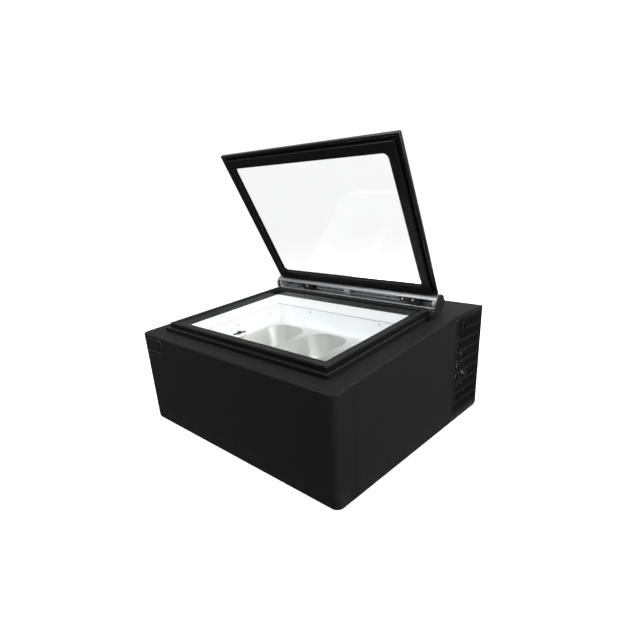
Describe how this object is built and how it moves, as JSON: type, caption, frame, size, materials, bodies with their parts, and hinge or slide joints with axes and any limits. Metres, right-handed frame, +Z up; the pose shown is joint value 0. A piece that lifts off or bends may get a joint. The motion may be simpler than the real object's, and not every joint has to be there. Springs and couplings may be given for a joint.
{
  "type": "countertop ice cream display freezer",
  "caption": "Low black countertop freezer with a sloped top, lift-out steel pans in a white tank, and a double-glazed lid on a rear torsion hinge.",
  "frame": {"origin": "on the ground at the middle of the cabinet", "axes": "+Z up, -Y towards the customer front, +X to the right seen from the front"},
  "size_m": [0.71, 0.625, 0.7102],
  "materials": {
    "cabinet_black": "satin powder coat, fine texture",
    "base_black": "satin powder coat",
    "rim_black": "satin extruded plastic",
    "gasket_black": "matte rubber",
    "liner_white": "smooth white coat",
    "collar_white": "smooth white plastic",
    "stainless": "brushed stainless steel",
    "aluminium_grey": "satin anodised extrusion",
    "lid_black": "gloss black anodised",
    "clear_glass": "clear toughened pane",
    "border_black": "black glass border",
    "cap_dark": "moulded cap",
    "bracket_black": "black zinc",
    "steel_bright": "bright zinc plate",
    "screw_black": "black screws",
    "screw_bright": "bright screws",
    "control_black": "moulded control housing",
    "display_dark": "tinted display window",
    "button_grey": "soft keys",
    "rocker_black": "gloss rocker",
    "foam_buff": "rigid foam",
    "copper": "drawn copper tube",
    "machine_black": "gloss black paint",
    "galvanised": "galvanised sheet",
    "fin_aluminium": "fin stock",
    "fan_plastic": "moulded fan",
    "wire_chrome": "chromed wire",
    "feet_rubber": "rubber",
    "probe_black": "probe clip",
    "led_white": "diffuser",
    "box_grey": "electrical box",
    "bush_nylon": "nylon"
  },
  "bodies": {
    "cabinet": {"base_pan": "base_black", "rubber_feet": "feet_rubber", "front_fascia": "cabinet_black", "top_deck": "cabinet_black", "rear_top_cover": "cabinet_black", "side_panel_left": "cabinet_black", "side_panel_right": "cabinet_black", "grille_left": "cabinet_black", "grille_right": "cabinet_black", "rear_panel": "cabinet_black", "panel_screws": "screw_black", "rim_frame": "rim_black", "rim_gasket": "gasket_black", "rim_corner_blocks": "rim_black", "led_strip": "led_white", "liner_collar": "collar_white", "liner_tank": "liner_white", "liner_screws": "collar_white", "temperature_probe": "probe_black", "evaporator_coil": "copper", "insulation_shell": "foam_buff", "pan_frame": "liner_white", "controller_body": "control_black", "controller_lens": "display_dark", "switch_bezel": "control_black", "power_inlet": "control_black", "machine_bulkhead": "galvanised", "compressor": "machine_black", "compressor_mounts": "feet_rubber", "condenser_coil": "fin_aluminium", "fan_shroud": "galvanised", "fan_motor": "machine_black", "fan_guard": "wire_chrome", "filter_drier": "copper", "refrigerant_lines": "copper", "wiring_box": "box_grey", "hinge_rail": "aluminium_grey", "hinge_end_plates": "bracket_black", "hinge_bushes": "bush_nylon", "torsion_bars": "steel_bright", "torsion_brackets": "bracket_black", "bracket_screws": "screw_bright"},
    "lid": {"hinge_cover": "aluminium_grey", "end_caps": "cap_dark", "hinge_pins": "steel_bright", "centre_anchor": "steel_bright", "lid_frame": "lid_black", "lid_gasket": "border_black", "glass_lower": "clear_glass", "glass_upper": "clear_glass", "glass_spacer": "border_black"},
    "rocker": {"power_rocker": "rocker_black"},
    "fan": {"fan_blade": "fan_plastic"},
    "left_pan": {"pan_left": "stainless"},
    "middle_pan": {"pan_middle": "stainless"},
    "right_pan": {"pan_right": "stainless"},
    "set_button": {"button_set": "button_grey"},
    "up_button": {"button_up": "button_grey"},
    "down_button": {"button_down": "button_grey"},
    "light_button": {"button_light": "button_grey"}
  },
  "joints": [
    {"name": "lid_hinge", "type": "hinge", "parent": "cabinet", "child": "lid", "pos_m": [0, 0.155, 0.3324], "axis": [-1, 0, 0], "range_deg": [-69, 6]},
    {"name": "rocker_tilt", "type": "hinge", "parent": "cabinet", "child": "rocker", "pos_m": [0.3505, 0.203, 0.273], "axis": [0, 1, 0], "range_deg": [-18, 0]},
    {"name": "fan_spin", "type": "hinge", "parent": "cabinet", "child": "fan", "pos_m": [0.312, 0.23, 0.132], "axis": [1, 0, 0], "continuous": true},
    {"name": "set_button_press", "type": "slide", "parent": "cabinet", "child": "set_button", "axis": [0, 1, 0], "range_m": [0, 0.0008], "stiffness_N_per_m": 300},
    {"name": "up_button_press", "type": "slide", "parent": "cabinet", "child": "up_button", "axis": [0, 1, 0], "range_m": [0, 0.0008], "stiffness_N_per_m": 300},
    {"name": "down_button_press", "type": "slide", "parent": "cabinet", "child": "down_button", "axis": [0, 1, 0], "range_m": [0, 0.0008], "stiffness_N_per_m": 300},
    {"name": "light_button_press", "type": "slide", "parent": "cabinet", "child": "light_button", "axis": [0, 1, 0], "range_m": [0, 0.0008], "stiffness_N_per_m": 300},
    {"name": "left_pan_lift", "type": "slide", "parent": "cabinet", "child": "left_pan", "axis": [0, 0, 1], "range_m": [0, 0.15]},
    {"name": "middle_pan_lift", "type": "slide", "parent": "cabinet", "child": "middle_pan", "axis": [0, 0, 1], "range_m": [0, 0.15]},
    {"name": "right_pan_lift", "type": "slide", "parent": "cabinet", "child": "right_pan", "axis": [0, 0, 1], "range_m": [0, 0.15]}
  ]
}
